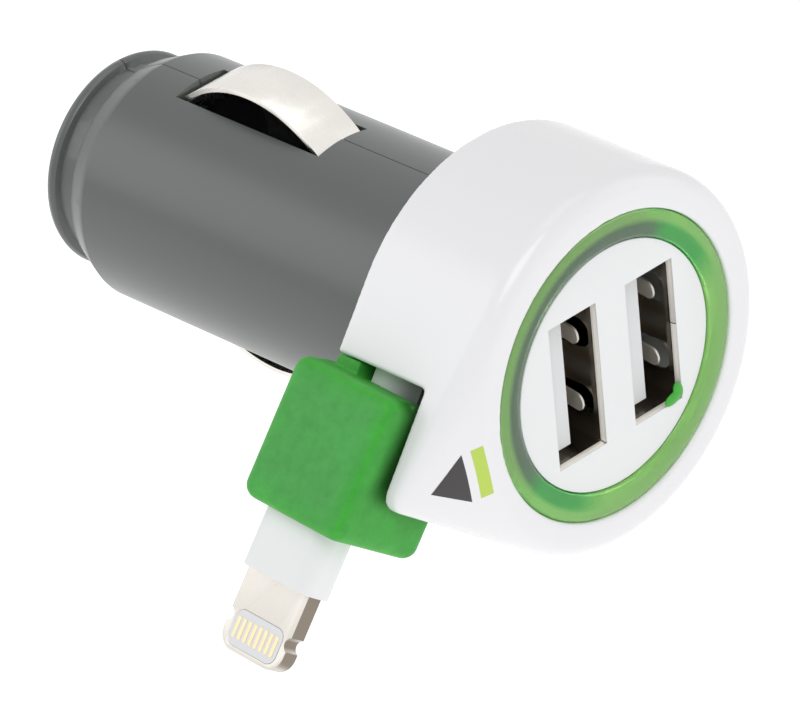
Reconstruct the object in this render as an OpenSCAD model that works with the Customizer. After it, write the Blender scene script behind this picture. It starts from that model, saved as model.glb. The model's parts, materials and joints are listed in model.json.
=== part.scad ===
// Car socket charger with two charging ports and a pull-out phone plug.
// Origin on the barrel axis at the rear face of the head, +Y towards the barrel tip, +Z up.
// The head, reel and plug are drawn in a pull frame, turned about Y, where the plug leaves along -Z.

/* [Barrel] */
// Outer radius of the barrel
barrel_r = 10.4; // [10.1:0.05:10.5]
// Wall of the barrel
barrel_wall = 1.4; // [1.2:0.1:1.6]
// Distance from the head to the chamfered shoulder
shoulder_y = 35.5; // [35:0.25:37]
// Length of the chamfered shoulder
shoulder_len = 2.3; // [1.8:0.1:2.6]
// How far the shoulder falls towards the axis
shoulder_drop = 1.05; // [0.8:0.05:1.2]
// Length of the neck behind the nose flange
neck_len = 2.2; // [1.8:0.1:2.6]
// Depth of the neck groove
neck_depth = 2; // [1.7:0.1:2.2]
// Thickness of the nose flange
nose_t = 1.2; // [1.1:0.1:1.6]
// How far the nose flange stays under the barrel radius
nose_drop = 1.4; // [1.2:0.05:1.6]
// Width of the seam between the two barrel halves
seam_gap = 0.08; // [0.04:0.02:0.12]
// Length of the true round land next to the head
land_len = 14.8; // [12:0.1:15]
// Draft of the barrel from the land to the shoulder
barrel_draft = 0.05; // [0.03:0.01:0.1]

/* [Ground springs] */
// Distance from the head to the spring windows
window_y = 15.2; // [14.5:0.1:15.5]
// Length of a spring window
window_len = 16.1; // [15.8:0.1:16.6]
// Width of a spring window
window_w = 5.4; // [5.2:0.1:6]
// Width of the spring strip
strip_w = 4.75; // [4:0.05:5]
// Thickness of the spring strip
strip_t = 0.4; // [0.3:0.05:0.5]
// Height of the strip's crown above the barrel
crown_h = 2.35; // [1.5:0.05:2.6]
// Length of the foot at each end of a strip
foot_len = 1.9; // [1.4:0.1:2]

/* [Tip contact] */
// Radius of the centre contact
tip_r = 3.45; // [3:0.05:3.8]
// How far the centre contact stands out of the nose
tip_out = 3.8; // [3:0.1:4.5]
// Radius of the contact's collar
collar_r = 4.9; // [4.4:0.1:5]
// Thickness of the contact's collar
collar_t = 1.2; // [0.8:0.1:1.4]
// How far the contact presses in
tip_travel = 2.5; // [2:0.1:2.6]
// Mean radius of the contact's coil spring
coil_r = 2.3; // [2.2:0.05:2.6]
// Wire diameter of the coil spring
coil_wire = 0.6; // [0.5:0.05:0.7]
// Turns of the coil spring
coil_turns = 5; // [4:1:6]

/* [Head] */
// Width of the white rim outside the light ring
rim_w = 3.1; // [3:0.05:3.4]
// Depth of the head along the barrel axis
head_d = 13.66; // [13.66:0.02:14]
// Rounding of the front edge
edge_r = 1.6; // [1:0.1:1.8]
// Rounding of the square corner
corner_r = 1.3; // [1.2:0.1:1.6]
// How far the face of the square corner lies behind the front
corner_drop = 2.7; // [2:0.1:2.7]
// Rounding of the front edge at the square corner
corner_edge_r = 0.6; // [0.4:0.05:0.6]
// Wall of the head around the reel
head_wall = 1; // [0.9:0.05:1.1]
// Turn of the square corner about the barrel axis
pull_angle = 36.6; // [30:0.5:45]
// Thickness of the front plate at the square corner
corner_plate = 4.31; // [4:0.05:4.4]
// Distance from the axis to the end of the straight side wall
side_wall_end = 6.2; // [6:0.1:6.4]
// Thickness of the rear cover
back_t = 1.3; // [1:0.1:1.4]

/* [Port face] */
// Width of the light ring
ring_w = 2.3; // [2.2:0.05:2.5]
// How far the ring's crest lies behind the front of the head
ring_drop = 0.1; // [0.05:0.05:0.2]
// How far the port face lies behind the front of the head
face_drop = 0.4; // [0.3:0.05:0.5]
// Thickness of the port face
face_t = 1.06; // [0.8:0.02:1.2]
// Thickness of the rim that covers the mouth of a port shell
mouth_rim = 0.12; // [0.1:0.01:0.2]
// Height of a port shell, outside
port_h = 12.74; // [12.7:0.02:12.8]
// Width of a port shell, outside
port_w = 5.36; // [5.3:0.02:5.4]
// Distance between the two ports
port_pitch = 8.45; // [8.3:0.05:8.5]
// Least distance from the corner of a port to the light ring
port_margin = 0.86; // [0.7:0.01:1]
// Sideways place of the pair of ports
port_x = 0.2; // [0:0.1:0.3]
// Sheet thickness of the port shells
shell_t = 0.18; // [0.16:0.01:0.2]
// Length of the port shells
shell_len = 9.96; // [9.7:0.02:10]
// Length of the flared lips at the mouth of a port shell
lip_len = 0.9; // [0.8:0.1:1.2]
// How far the lips flare outwards
lip_flare = 0.1; // [0.05:0.01:0.12]

/* [Plug and grip] */
// Thickness of the flat cable
cable_t = 0.6; // [0.5:0.05:0.7]
// Width of the flat cable
cable_w = 5; // [4.6:0.1:5]
// How far the plug pulls out on the straight cable
pull_travel = 9; // [4:0.5:9]
// Thickness of the grip
grip_w = 10.4; // [10:0.1:11]
// How far the grip stands out beyond the head
grip_out = 2.8; // [2.4:0.1:3.2]
// Height of the grip along the pull
grip_h = 11.8; // [11.5:0.1:13]
// How far the grip stands out behind the head
grip_back = 1.8; // [1:0.1:2]
// Gap between the side wall and the top of the grip
grip_gap = 1.2; // [0.8:0.1:1.4]
// Rounding of the grip's edges
grip_r = 1.2; // [0.8:0.1:1.4]
// Width of the plug's moulded body
body_w = 7.4; // [7.2:0.1:7.6]
// Thickness of the plug's moulded body
body_t = 4; // [3.6:0.1:4.2]
// Length of the plug's body below the grip
body_out = 4.9; // [4:0.1:6]
// Width of the plug's tongue
tongue_w = 6.7; // [6.6:0.05:6.75]
// Thickness of the plug's tongue
tongue_t = 1.5; // [1.4:0.05:1.6]
// Length of the tongue below the plug's body
tongue_out = 6.6; // [6.4:0.1:7]
// Lean of the plug in its soft grip
plug_lean = 3; // [0:0.5:3]

/* [Hidden] */
$fn = 96;
eps = 0.01;
big = 60;

// Running and seating clearances
fit_gap = 0.05;
run_gap = 0.1;
slide_gap = 0.15;
lean_room = 0.1;

// Draft of the head's front cap, and the width of the solid behind its side wall
cap_draft = 0.02;
side_wall_w = 5;

// Barrel stations along Y
bore_r = barrel_r - barrel_wall;
neck_y = shoulder_y + shoulder_len;
nose_y = neck_y + neck_len;
nose_end = nose_y + nose_t;
nose_r = barrel_r - nose_drop;
neck_r = barrel_r - neck_depth;
nose_wall = 1.6;
chamber_r = collar_r + 0.3;
chamber_end = nose_end - nose_wall;
bore_end = window_y + window_len + foot_len + 0.6;
flange_r = barrel_r + 1.4;
collar_hole_r = barrel_r - 0.2;
flange_t = 0.95;
flange_y = -back_t - fit_gap;

// Radii of the face
port_reach = norm([port_pitch / 2 + port_w / 2 + port_x, port_h / 2]);
ring_ri = port_reach + port_margin;
ring_ro = ring_ri + ring_w;
head_r = ring_ro + rim_w;

// Head stations along Y
front_y = -head_d;
front_wall = 1.16;
wall_back_y = front_y + front_wall;
plate_back_y = front_y + corner_plate;
chamber_wall_r = head_r - head_wall;
seat_r = chamber_wall_r - 0.8;
face_y = front_y + face_drop;
face_back_y = face_y + face_t;
core_front_r = ring_ri - fit_gap - fit_gap;
core_in_r = core_front_r - 0.4;
core_r = core_in_r + 0.85;
web_t = 0.7;
reel_back_y = flange_y - flange_t - 0.25;
reel_plate = 0.45;
cable_back_y = reel_back_y - reel_plate - fit_gap;
cable_front_y = cable_back_y - cable_w;
reel_front_y = cable_front_y - fit_gap - reel_plate;
spring_strip_w = 1.2;
spring_back_y = reel_front_y - slide_gap;
web_back_y = spring_back_y - spring_strip_w - run_gap;
web_front_y = web_back_y - web_t;
board_t = 0.65;
light_board_y = web_front_y - fit_gap - board_t;
led_h = 0.5;
ring_back_y = light_board_y - led_h - run_gap;

// Reel radii
reel_bore = core_r + run_gap;
reel_hub = reel_bore + 0.65;
reel_rim = chamber_wall_r - 0.45;
cable_x = reel_rim - 0.25;
winding_in = reel_hub + fit_gap;
winding_out = cable_x - cable_t / 2 - slide_gap;
winding_pitch = cable_t + 0.06;
winding_turns = (winding_out - winding_in - cable_t) / winding_pitch;

// Port stations
shell_y = face_y + mouth_rim + fit_gap / 2;
shell_back_y = face_y + shell_len;
port_board_y = shell_back_y + fit_gap;
port_board_t = 0.8;
port_board_end = port_board_y + port_board_t;
inner_w = port_w - 2 * shell_t;
inner_h = port_h - 2 * shell_t;
tongue_side = -inner_w / 2 + 2.42;
finger_bend = 8;

// Grip and plug stations along the pull
grip_top = side_wall_end + grip_gap;
grip_end = grip_top + grip_h;
grip_front_y = plate_back_y + slide_gap + lean_room;
grip_scoop_r = head_r + 0.3;
mouth_in = 1.5;
mouth_h = 3.3;
cable_room = 0.5;
plug_x = -head_r + 0.9;
grip_x = head_r + grip_out;
plug_y = -3.25;
body_top = grip_top + 3.1;
body_end = grip_end + body_out;
tongue_end = body_end + tongue_out;
tongue_root = body_end - 4.6;
lead_end = body_top - fit_gap;
lead_top = pull_travel - side_wall_end + 0.2;

// Ground spring side view
strip_mid_y = window_y + window_len / 2;
strip_half = window_len / 2 - 0.35;
crown_z = barrel_r + crown_h;
strip_end_z = bore_r + 0.75;
strip_rise = crown_z - strip_end_z;
strip_arc_r = (strip_half * strip_half + strip_rise * strip_rise) / (2 * strip_rise);
foot_z = bore_r - 0.85;
leg_h = strip_end_z - strip_t / 2 - foot_z;

// Solid drawn as an outline in X and Z, carried along Y from y0 to y1
module across(y0, y1) {
    translate([0, y1, 0])
        rotate([90, 0, 0])
            linear_extrude(y1 - y0)
                children();
}

// Solid of revolution about Y, drawn as radius and distance along Y
module turned() {
    rotate([-90, 0, 0])
        rotate_extrude()
            children();
}

// Plain ring about Y
module ring_y(r_in, r_out, y0, y1) {
    across(y0, y1)
        difference() {
            circle(r_out);
            circle(r_in);
        }
}

// Block between two corners
module block(low, high) {
    translate(low)
        cube(high - low);
}

// Rectangle with four equal round corners, centred
module round_rect(w, h, r) {
    square([w - 2 * r, h], center = true);
    square([w, h - 2 * r], center = true);
    for (sx = [-1, 1])
        for (sy = [-1, 1])
            translate([sx * (w / 2 - r), sy * (h / 2 - r)])
                circle(r, $fn = 48);
}

// Frame in which the plug leaves along -Z
module pull_frame() {
    rotate([0, pull_angle, 0])
        children();
}

// Flat strip wound as a spiral, in X and Z
module spiral_band(r_in, pitch, turns, thick, steps, start) {
    count = ceil(turns * steps);
    ways = [for (i = [0 : count]) i * turns * 360 / count];
    outer = [for (a = ways) (r_in + thick + pitch * a / 360) * [cos(start + a), sin(start + a)]];
    inner = [for (a = ways) (r_in + pitch * a / 360) * [cos(start + a), sin(start + a)]];
    polygon(concat(outer, [for (i = [count : -1 : 0]) inner[i]]));
}

// Front cap of the head: round front with a soft edge, sloping back to one square corner
module head_cap() {
    corner_place = [-head_r + corner_r, 0, -head_r + corner_r];
    hull() {
        turned($fn = 96)
            translate([head_r - edge_r, front_y + edge_r])
                circle(edge_r, $fn = 24);
        across(plate_back_y - run_gap, plate_back_y)
            circle(head_r - cap_draft);
        translate(corner_place) {
            turned($fn = 32)
                translate([corner_r - corner_edge_r, front_y + corner_drop + corner_edge_r])
                    circle(corner_edge_r, $fn = 24);
            across(plate_back_y - run_gap, plate_back_y)
                circle(corner_r - cap_draft, $fn = 32);
        }
    }
}

// White front housing: face, round wall, square corner and the notch for the grip
module head_front() {
    color("whitesmoke")
        pull_frame()
            difference() {
                union() {
                    head_cap();
                    across(plate_back_y - run_gap, 0)
                        circle(head_r);
                    // Side wall that runs straight down from the round wall to the notch
                    block([-head_r, plate_back_y - run_gap, -side_wall_end], [-head_r + side_wall_w, 0, 0]);
                }
                across(web_front_y - fit_gap, 1)
                    circle(chamber_wall_r);
                across(wall_back_y, 0)
                    circle(seat_r);
                across(front_y - 1, 0)
                    circle(ring_ro + fit_gap);
                // Straight way of the cable along the side wall
                block([-cable_x - cable_t / 2 - cable_room, reel_front_y + 0.2, -side_wall_end - 1],
                      [-cable_x + mouth_in, reel_back_y - 0.2, lead_top + 0.3]);
                // Mouth in the round wall where the cable meets the grip
                block([-head_r - 1, plate_back_y, -side_wall_end - mouth_h],
                      [-cable_x + mouth_in - 0.4, 1, -side_wall_end]);
            }
}

// White rear cover inside the round wall, with the hole for the barrel
module head_back() {
    color("whitesmoke")
        ring_y(collar_hole_r + fit_gap, chamber_wall_r - fit_gap, -back_t, -fit_gap);
}

// Places for the left and right port
module at_port(side) {
    translate([port_x + side * port_pitch / 2, 0, 0])
        children();
}

// White port face with its tube, on which the reel turns, and the web that carries the lights
module port_housing() {
    color("white")
        difference() {
            union() {
                across(face_y, web_back_y)
                    circle(core_front_r);
                across(web_back_y - eps, port_board_end)
                    circle(core_r);
                across(web_front_y, web_back_y)
                    circle(chamber_wall_r - fit_gap);
            }
            across(face_back_y, 1)
                circle(core_in_r);
            for (side = [-1, 1])
                at_port(side) {
                    across(face_y - 1, face_back_y)
                        square([inner_w + 2 * lip_flare, inner_h + 2 * lip_flare], center = true);
                    across(face_y + mouth_rim, face_back_y + 1)
                        square([port_w + 2 * lip_flare + fit_gap, port_h + 2 * lip_flare + fit_gap], center = true);
                }
        }
}

// Green translucent ring with a shallow crown and a lip behind the front wall
module light_ring() {
    crown_r = 4;
    crown_mid = (ring_ro + ring_ri) / 2;
    color("limegreen")
        turned()
            union() {
                intersection() {
                    translate([ring_ri, front_y])
                        square([ring_ro - ring_ri, ring_back_y - front_y]);
                    translate([crown_mid, front_y + ring_drop + crown_r])
                        circle(crown_r, $fn = 128);
                }
                translate([ring_ro - 1, wall_back_y + fit_gap])
                    square([seat_r - fit_gap - ring_ro + 1, ring_back_y - wall_back_y - fit_gap]);
            }
}

// Ring-shaped board that carries the lights
module light_board() {
    color("darkgreen")
        ring_y(core_front_r + fit_gap, seat_r - fit_gap, light_board_y, light_board_y + board_t);
}

// Four small lights on the ring board
led_r = (ring_ro + ring_ri) / 2;
module ring_leds() {
    color("ivory")
        for (a = [45 : 90 : 315])
            rotate([0, a, 0])
                block([led_r - 0.8, light_board_y - led_h, -1], [led_r + 0.8, light_board_y, 1]);
}

// Spring finger of a port shell: a slot with round end and the finger bent inwards
finger_len = 4.4;
finger_w = 1.5;
finger_slot_w = 2.6;
finger_z = 3;
module finger_outline(w) {
    square([finger_len, w], center = true);
    translate([-finger_len / 2, 0])
        circle(w / 2, $fn = 32);
}

// Flared lip at the mouth of a port shell, drawn for the wall at +X that is so far out and so long
module shell_lip(wall, long) {
    translate([0, 0, -long / 2])
        linear_extrude(long)
            polygon([
                [wall - shell_t, shell_y + lip_len], [wall, shell_y + lip_len],
                [wall + lip_flare, shell_y], [wall + lip_flare - shell_t, shell_y]
            ]);
}

// Folded steel shell of a port, with lips at its mouth and two fingers on each wide wall
module port_shell() {
    color("silver") {
        difference() {
            across(shell_y + lip_len, shell_back_y)
                difference() {
                    square([port_w, port_h], center = true);
                    square([inner_w, inner_h], center = true);
                }
            for (z = [-finger_z, finger_z])
                translate([-port_w, face_y + finger_len, z])
                    rotate([90, 0, 90])
                        linear_extrude(2 * port_w)
                            finger_outline(finger_slot_w);
        }
        for (turn = [0, 180]) {
            rotate([0, turn, 0])
                shell_lip(port_w / 2, inner_h);
            rotate([0, turn + 90, 0])
                shell_lip(port_h / 2, inner_w);
        }
        across(shell_back_y - shell_t, shell_back_y)
            difference() {
                square([inner_w + eps, inner_h + eps], center = true);
                translate([tongue_side, 0])
                    square([1.2, 9.4], center = true);
            }
        for (side = [-1, 1])
            for (z = [-finger_z, finger_z])
                translate([side * (port_w / 2 - shell_t / 2), face_y + finger_len * 1.5 + 0.1, z])
                    rotate([0, 0, side > 0 ? -finger_bend : finger_bend / 2])
                        translate([-shell_t / 2, -finger_len / 2 - 0.1, 0])
                            rotate([90, 0, 90])
                                linear_extrude(shell_t)
                                    finger_outline(finger_w);
    }
}
module port_shell_left() at_port(-1) port_shell();
module port_shell_right() at_port(1) port_shell();

// Moulded insulator of a port: the tongue and the block behind it
module port_tongue() {
    slab_t = 1.84;
    slab_in = 1.25;
    root_len = 1.6;
    half_h = inner_h / 2 - 0.7;
    color("white")
        difference() {
            union() {
                block([tongue_side - slab_t, face_y + slab_in, -half_h],
                      [tongue_side, shell_back_y - root_len + 0.4, half_h]);
                across(shell_back_y - root_len, shell_back_y - shell_t - fit_gap)
                    square([inner_w - 0.1, inner_h - 0.1], center = true);
            }
            contact_strips(tongue_side - 0.1, 0.3);
        }
}
module port_tongue_left() at_port(-1) port_tongue();
module port_tongue_right() at_port(1) port_tongue();

// Four contact strips of a port, of a given thickness from x
contact_far = 3.5;
contact_near = 1;
contact_w = 1;
contact_in = 2.2;
module contact_strips(x, thick) {
    for (z = [-contact_far, -contact_near, contact_near, contact_far])
        block([x, face_y + contact_in, z - contact_w / 2], [x + thick, shell_back_y, z + contact_w / 2]);
}
module port_contacts() {
    color("gold")
        contact_strips(tongue_side - 0.1, 0.2);
}
module port_contacts_left() at_port(-1) port_contacts();
module port_contacts_right() at_port(1) port_contacts();

// Round board behind the two ports
module port_board() {
    color("darkgreen")
        across(port_board_y, port_board_end)
            circle(core_in_r - fit_gap);
}

// Board along the barrel, between the port board and the tip terminal
power_board_t = 1.2;
power_board_w = 2 * bore_r - 1.6;
coil_room = 8.2;
terminal_y = chamber_end - collar_t - fit_gap - coil_room;
module power_board() {
    color("darkgreen")
        block([-power_board_w / 2, port_board_end + fit_gap, -power_board_t / 2],
              [power_board_w / 2, terminal_y - fit_gap, power_board_t / 2]);
}

// Drum inductor on the upper side of the board
inductor_r = 0.38 * bore_r;
inductor_h = 0.49 * bore_r;
inductor_y = window_y - 2 * inductor_r - 0.4;
module inductor() {
    flange_h = 0.8;
    color("dimgray")
        translate([0, inductor_y, power_board_t / 2 + fit_gap]) {
            cylinder(r = inductor_r, h = flange_h);
            cylinder(r = inductor_r - 1, h = inductor_h);
            translate([0, 0, inductor_h - flange_h])
                cylinder(r = inductor_r, h = flange_h);
        }
}

// Round capacitor lying on the upper side of the board
capacitor_r = 0.35 * bore_r;
capacitor_len = 8.5;
module smoothing_capacitor() {
    color("slategray")
        translate([0, window_y + 1.8, power_board_t / 2 + fit_gap + capacitor_r])
            across(0, capacitor_len)
                circle(capacitor_r);
}

// Converter chip on the lower side of the board
chip_w = 5;
chip_len = 6;
chip_t = 1.6;
module converter_chip() {
    color("black")
        translate([0, window_y - chip_len, -power_board_t / 2 - fit_gap])
            block([-chip_w / 2, 0, -chip_t], [chip_w / 2, chip_len, 0]);
}

// Brass terminal on the end of the board, with the post inside the coil spring
terminal_w = 4.8;
terminal_len = 1.6;
terminal_t = 3;
post_len = 5.3;
module tip_terminal() {
    color("goldenrod")
        difference() {
            union() {
                block([-terminal_w / 2, terminal_y - terminal_len, -terminal_t / 2],
                      [terminal_w / 2, terminal_y, terminal_t / 2]);
                across(terminal_y - eps, terminal_y + post_len)
                    circle(coil_r - coil_wire / 2 - 0.25, $fn = 48);
            }
            block([-terminal_w, terminal_y - 2 * terminal_len, -power_board_t / 2 - fit_gap],
                  [terminal_w, terminal_y - fit_gap, power_board_t / 2 + fit_gap]);
        }
}

// Outer profile of the barrel with its shoulder, neck and nose flange
module barrel_profile() {
    polygon([
        [0, flange_y - flange_t], [flange_r, flange_y - flange_t], [flange_r, flange_y],
        [collar_hole_r, flange_y], [collar_hole_r, -fit_gap], [barrel_r, 0], [barrel_r, land_len],
        [barrel_r - barrel_draft, shoulder_y], [barrel_r - shoulder_drop, neck_y],
        [neck_r, neck_y + 0.4], [neck_r, nose_y], [nose_r - 0.15, nose_y + 0.2],
        [nose_r, nose_y + 0.5], [nose_r, nose_end - 0.5], [nose_r - 0.15, nose_end - 0.15],
        [nose_r - 0.5, nose_end], [0, nose_end]
    ]);
}

// Hollow of the barrel: board bore, spring chamber and the hole for the contact
module barrel_hollow() {
    across(flange_y - flange_t - 1, bore_end)
        circle(bore_r);
    across(bore_end - 1, chamber_end)
        circle(chamber_r);
    across(chamber_end - 1, nose_end + 1)
        circle(tip_r + run_gap, $fn = 64);
}

// One half of the barrel, split on the plane through the two windows
module barrel_half(side) {
    difference() {
        intersection() {
            union() {
                difference() {
                    turned()
                        barrel_profile();
                    barrel_hollow();
                }
                board_rails();
            }
            block([side > 0 ? seam_gap / 2 : -big, -big, -big],
                  [side > 0 ? big : -seam_gap / 2, big, big]);
        }
        block([-window_w / 2, window_y, -big], [window_w / 2, window_y + window_len, big]);
    }
}

// Rails inside the barrel that hold the edges of the board
module board_rails() {
    rail_in = power_board_w / 2 - 0.7;
    for (sx = [-1, 1])
        for (sz = [-1, 1])
            intersection() {
                across(flange_y, bore_end)
                    circle(bore_r + 0.2);
                block([sx > 0 ? rail_in : -big, 1, sz > 0 ? power_board_t / 2 + fit_gap : -power_board_t / 2 - 0.9],
                      [sx > 0 ? big : -rail_in, 26, sz > 0 ? power_board_t / 2 + 0.9 : -power_board_t / 2 - fit_gap]);
            }
}

// Pegs that line up the two barrel halves in the nose block
peg_r = 0.9;
peg_z = (chamber_r + nose_r) / 2 - 0.5;
module pegs(r, reach) {
    for (z = [-peg_z, peg_z])
        translate([-1.5, bore_end + 1.3, z])
            rotate([0, 90, 0])
                cylinder(r = r, h = 1.5 + reach, $fn = 32);
}
module barrel_left() {
    color("gray")
        union() {
            barrel_half(-1);
            pegs(peg_r, 1.2);
        }
}
module barrel_right() {
    color("gray")
        difference() {
            barrel_half(1);
            pegs(peg_r + fit_gap, 1.5);
        }
}

// Turned centre contact: collar, shaft and rounded end
module tip_contact() {
    end_y = nose_end + tip_out;
    dome = 1.6;
    color("silver")
        turned()
            union() {
                translate([0, chamber_end - fit_gap - collar_t])
                    square([collar_r, collar_t]);
                translate([0, chamber_end - 0.5])
                    square([tip_r, end_y - dome - chamber_end + 0.5]);
                translate([0, end_y - dome - eps])
                    square([tip_r - dome, dome + eps]);
                intersection() {
                    translate([tip_r - dome, end_y - dome])
                        circle(dome, $fn = 64);
                    translate([0, end_y - dome])
                        square([tip_r, dome]);
                }
            }
}

// Coil spring behind the contact, swept as a round wire
coil_front = chamber_end - fit_gap - collar_t - coil_wire / 2;
coil_len = coil_front - coil_wire / 2 - tip_travel - run_gap - terminal_y;
module tip_spring() {
    sides = 8;
    steps = 20;
    count = coil_turns * steps;
    rings = [for (i = [0 : count])
        let (a = i * 360 / steps, y = coil_front - coil_len * i / count)
            [for (j = [0 : sides - 1])
                let (b = j * 360 / sides, r = coil_r + coil_wire / 2 * cos(b))
                    [r * cos(a), y + coil_wire / 2 * sin(b), r * sin(a)]]];
    points = [for (ring = rings) for (p = ring) p];
    walls = [for (i = [0 : count - 1]) for (j = [0 : sides - 1])
        let (k = (j + 1) % sides)
            [i * sides + j, i * sides + k, (i + 1) * sides + k, (i + 1) * sides + j]];
    caps = [[for (j = [sides - 1 : -1 : 0]) j], [for (j = [0 : sides - 1]) count * sides + j]];
    color("silver")
        polyhedron(points, concat(walls, caps), convexity = 10);
}

// Bowed ground strip with a leg and a foot at each end, drawn for the upper window
module ground_spring() {
    arc_z = crown_z - strip_arc_r;
    rotate([90, 0, 90])
        translate([0, 0, -strip_w / 2])
            linear_extrude(strip_w)
                union() {
                    intersection() {
                        difference() {
                            translate([strip_mid_y, arc_z])
                                circle(strip_arc_r, $fn = 160);
                            translate([strip_mid_y, arc_z])
                                circle(strip_arc_r - strip_t, $fn = 160);
                        }
                        translate([strip_mid_y - strip_half, foot_z])
                            square([2 * strip_half, crown_z]);
                    }
                    for (side = [-1, 1]) {
                        translate([strip_mid_y + side * (strip_half - strip_t / 2), foot_z + leg_h / 2])
                            square([strip_t, leg_h], center = true);
                        translate([strip_mid_y + side * (strip_half - strip_t + foot_len / 2), foot_z + strip_t / 2])
                            square([foot_len, strip_t], center = true);
                    }
                }
}
module ground_spring_top() color("gainsboro") ground_spring();
module ground_spring_bottom() color("gainsboro") mirror([0, 0, 1]) ground_spring();

// Spool on the port tube: hub and two rims
module cable_reel() {
    color("lightgray")
        difference() {
            union() {
                across(reel_front_y, reel_back_y)
                    circle(reel_hub);
                across(reel_front_y, reel_front_y + reel_plate)
                    circle(reel_rim);
                across(reel_back_y - reel_plate, reel_back_y)
                    circle(reel_rim);
            }
            across(reel_front_y - 1, reel_back_y + 1)
                circle(reel_bore);
        }
}

// Flat power spring of the reel, wound between the web and the front rim
module mainspring() {
    coils = 5;
    strip = 0.2;
    room = reel_rim - core_r - 0.9;
    color("steelblue")
        pull_frame()
            across(spring_back_y - spring_strip_w, spring_back_y)
                spiral_band(core_r + 0.25, room / coils, coils, strip, 24, 40);
}

// Flat cable wound on the spool
module wound_cable() {
    color("lightgray")
        pull_frame()
            across(cable_front_y, cable_back_y)
                spiral_band(winding_in, winding_pitch, winding_turns, cable_t, 48, 180 - 360 * winding_turns);
}

// Straight end of the flat cable, from the spool to the plug
module cable_lead() {
    color("lightgray")
        pull_frame()
            block([-cable_x - cable_t / 2, cable_front_y, -lead_end],
                  [-cable_x + cable_t / 2, cable_back_y, lead_top]);
}

// Rounded rubber grip with a hollow side against the round head and a stop pad on top
stop_len = 2.35;
stop_w = 2.3;
module plug_grip() {
    grip_low = [-grip_x, grip_front_y, -grip_end];
    grip_high = [-grip_x + grip_w, grip_back, -grip_top];
    color("limegreen")
        pull_frame()
            difference() {
                union() {
                    difference() {
                        lean()
                            rounded_block(grip_low, grip_high, grip_r);
                        across(grip_front_y - 1, grip_back + 2)
                            circle(grip_scoop_r);
                    }
                    lean()
                        block([-grip_scoop_r + 0.4, grip_front_y + 0.2, -grip_top - 2],
                              [-cable_x + 0.9, grip_back - 0.2, -grip_top]);
                    block([-head_r + 0.2, -stop_len - fit_gap, -grip_top - 1],
                          [-head_r + stop_w, -fit_gap, -side_wall_end - run_gap]);
                }
                lean()
                    plug_prism(body_w + 0.02, body_t + 0.02, body_top, grip_end + 1);
                block([-cable_x - cable_t / 2 - 0.01, cable_front_y - 0.01, -body_top - eps],
                      [-cable_x + cable_t / 2 + 0.01, cable_back_y + 0.01, -grip_top + 1]);
            }
}

// Box with round edges, from eight small balls
module rounded_block(low, high, r) {
    hull()
        for (x = [low[0] + r, high[0] - r])
            for (y = [low[1] + r, high[1] - r])
                for (z = [low[2] + r, high[2] - r])
                    translate([x, y, z])
                        sphere(r, $fn = 24);
}

// Leans the plug's pieces about the top of its body
module lean() {
    translate([0, plug_y, -body_top])
        rotate([plug_lean, 0, 0])
            translate([0, -plug_y, body_top])
                children();
}

// Rounded bar along the pull, centred on the plug
module plug_prism(w, t, top, end) {
    translate([plug_x, plug_y, -end])
        linear_extrude(end - top)
            round_rect(t, w, 1.5);
}

// White moulded body of the plug, hollow around its board and the root of the tongue
pocket_half_w = body_w / 2 - 0.6;
pocket_half_t = body_t / 4;
pocket_top = body_top + 0.8;
module plug_body() {
    color("white")
        pull_frame() lean()
            difference() {
                plug_prism(body_w, body_t, body_top, body_end);
                block([plug_x - pocket_half_t, plug_y - pocket_half_w, -tongue_root - eps],
                      [plug_x + pocket_half_t, plug_y + pocket_half_w, -pocket_top]);
                block([plug_x - tongue_t / 2 - 0.01, plug_y - tongue_w / 2 - 0.01, -body_end - 1],
                      [plug_x + tongue_t / 2 + 0.01, plug_y + tongue_w / 2 + 0.01, -tongue_root]);
            }
}

// Outline of the plug's tongue in Y and Z, with a round nose
module tongue_outline() {
    nose = 1.5;
    translate([-tongue_w / 2, -tongue_end + nose])
        square([tongue_w, tongue_end - nose - tongue_root]);
    translate([-tongue_w / 2 + nose, -tongue_end])
        square([tongue_w - 2 * nose, nose + eps]);
    for (side = [-1, 1])
        translate([side * (tongue_w / 2 - nose), -tongue_end + nose])
            circle(nose, $fn = 48);
}

// Carries an outline in Y and Z along X, centred on the plug
module plug_slab(thick) {
    translate([plug_x - thick / 2, plug_y, 0])
        rotate([90, 0, 90])
            linear_extrude(thick)
                children();
}

// Window of the tongue that holds the contact insert
insert_w = tongue_w - 1.5;
insert_h = 0.44 * tongue_out;
insert_z = tongue_end - 0.4 - insert_h / 2;
module insert_outline(grow) {
    translate([0, -insert_z])
        round_rect(insert_w + 2 * grow, insert_h + 2 * grow, 0.8 + grow);
}

// Metal tongue with two side notches and the window for the insert
module plug_tongue() {
    color("silver")
        pull_frame() lean()
            difference() {
                plug_slab(tongue_t)
                    tongue_outline();
                plug_slab(tongue_t + 1)
                    insert_outline(0.01);
                for (side = [-1, 1])
                    translate([plug_x - 2, plug_y + side * (tongue_w / 2 + 0.15), -tongue_end + 2.5])
                        rotate([0, 90, 0])
                            cylinder(r = 0.6, h = 4, $fn = 32);
            }
}

// Grey insert through the tongue, with pockets for the pads
module plug_insert() {
    color("gainsboro")
        pull_frame() lean()
            difference() {
                plug_slab(tongue_t + 0.04)
                    insert_outline(0);
                pad_blocks(0.12);
            }
}

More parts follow.
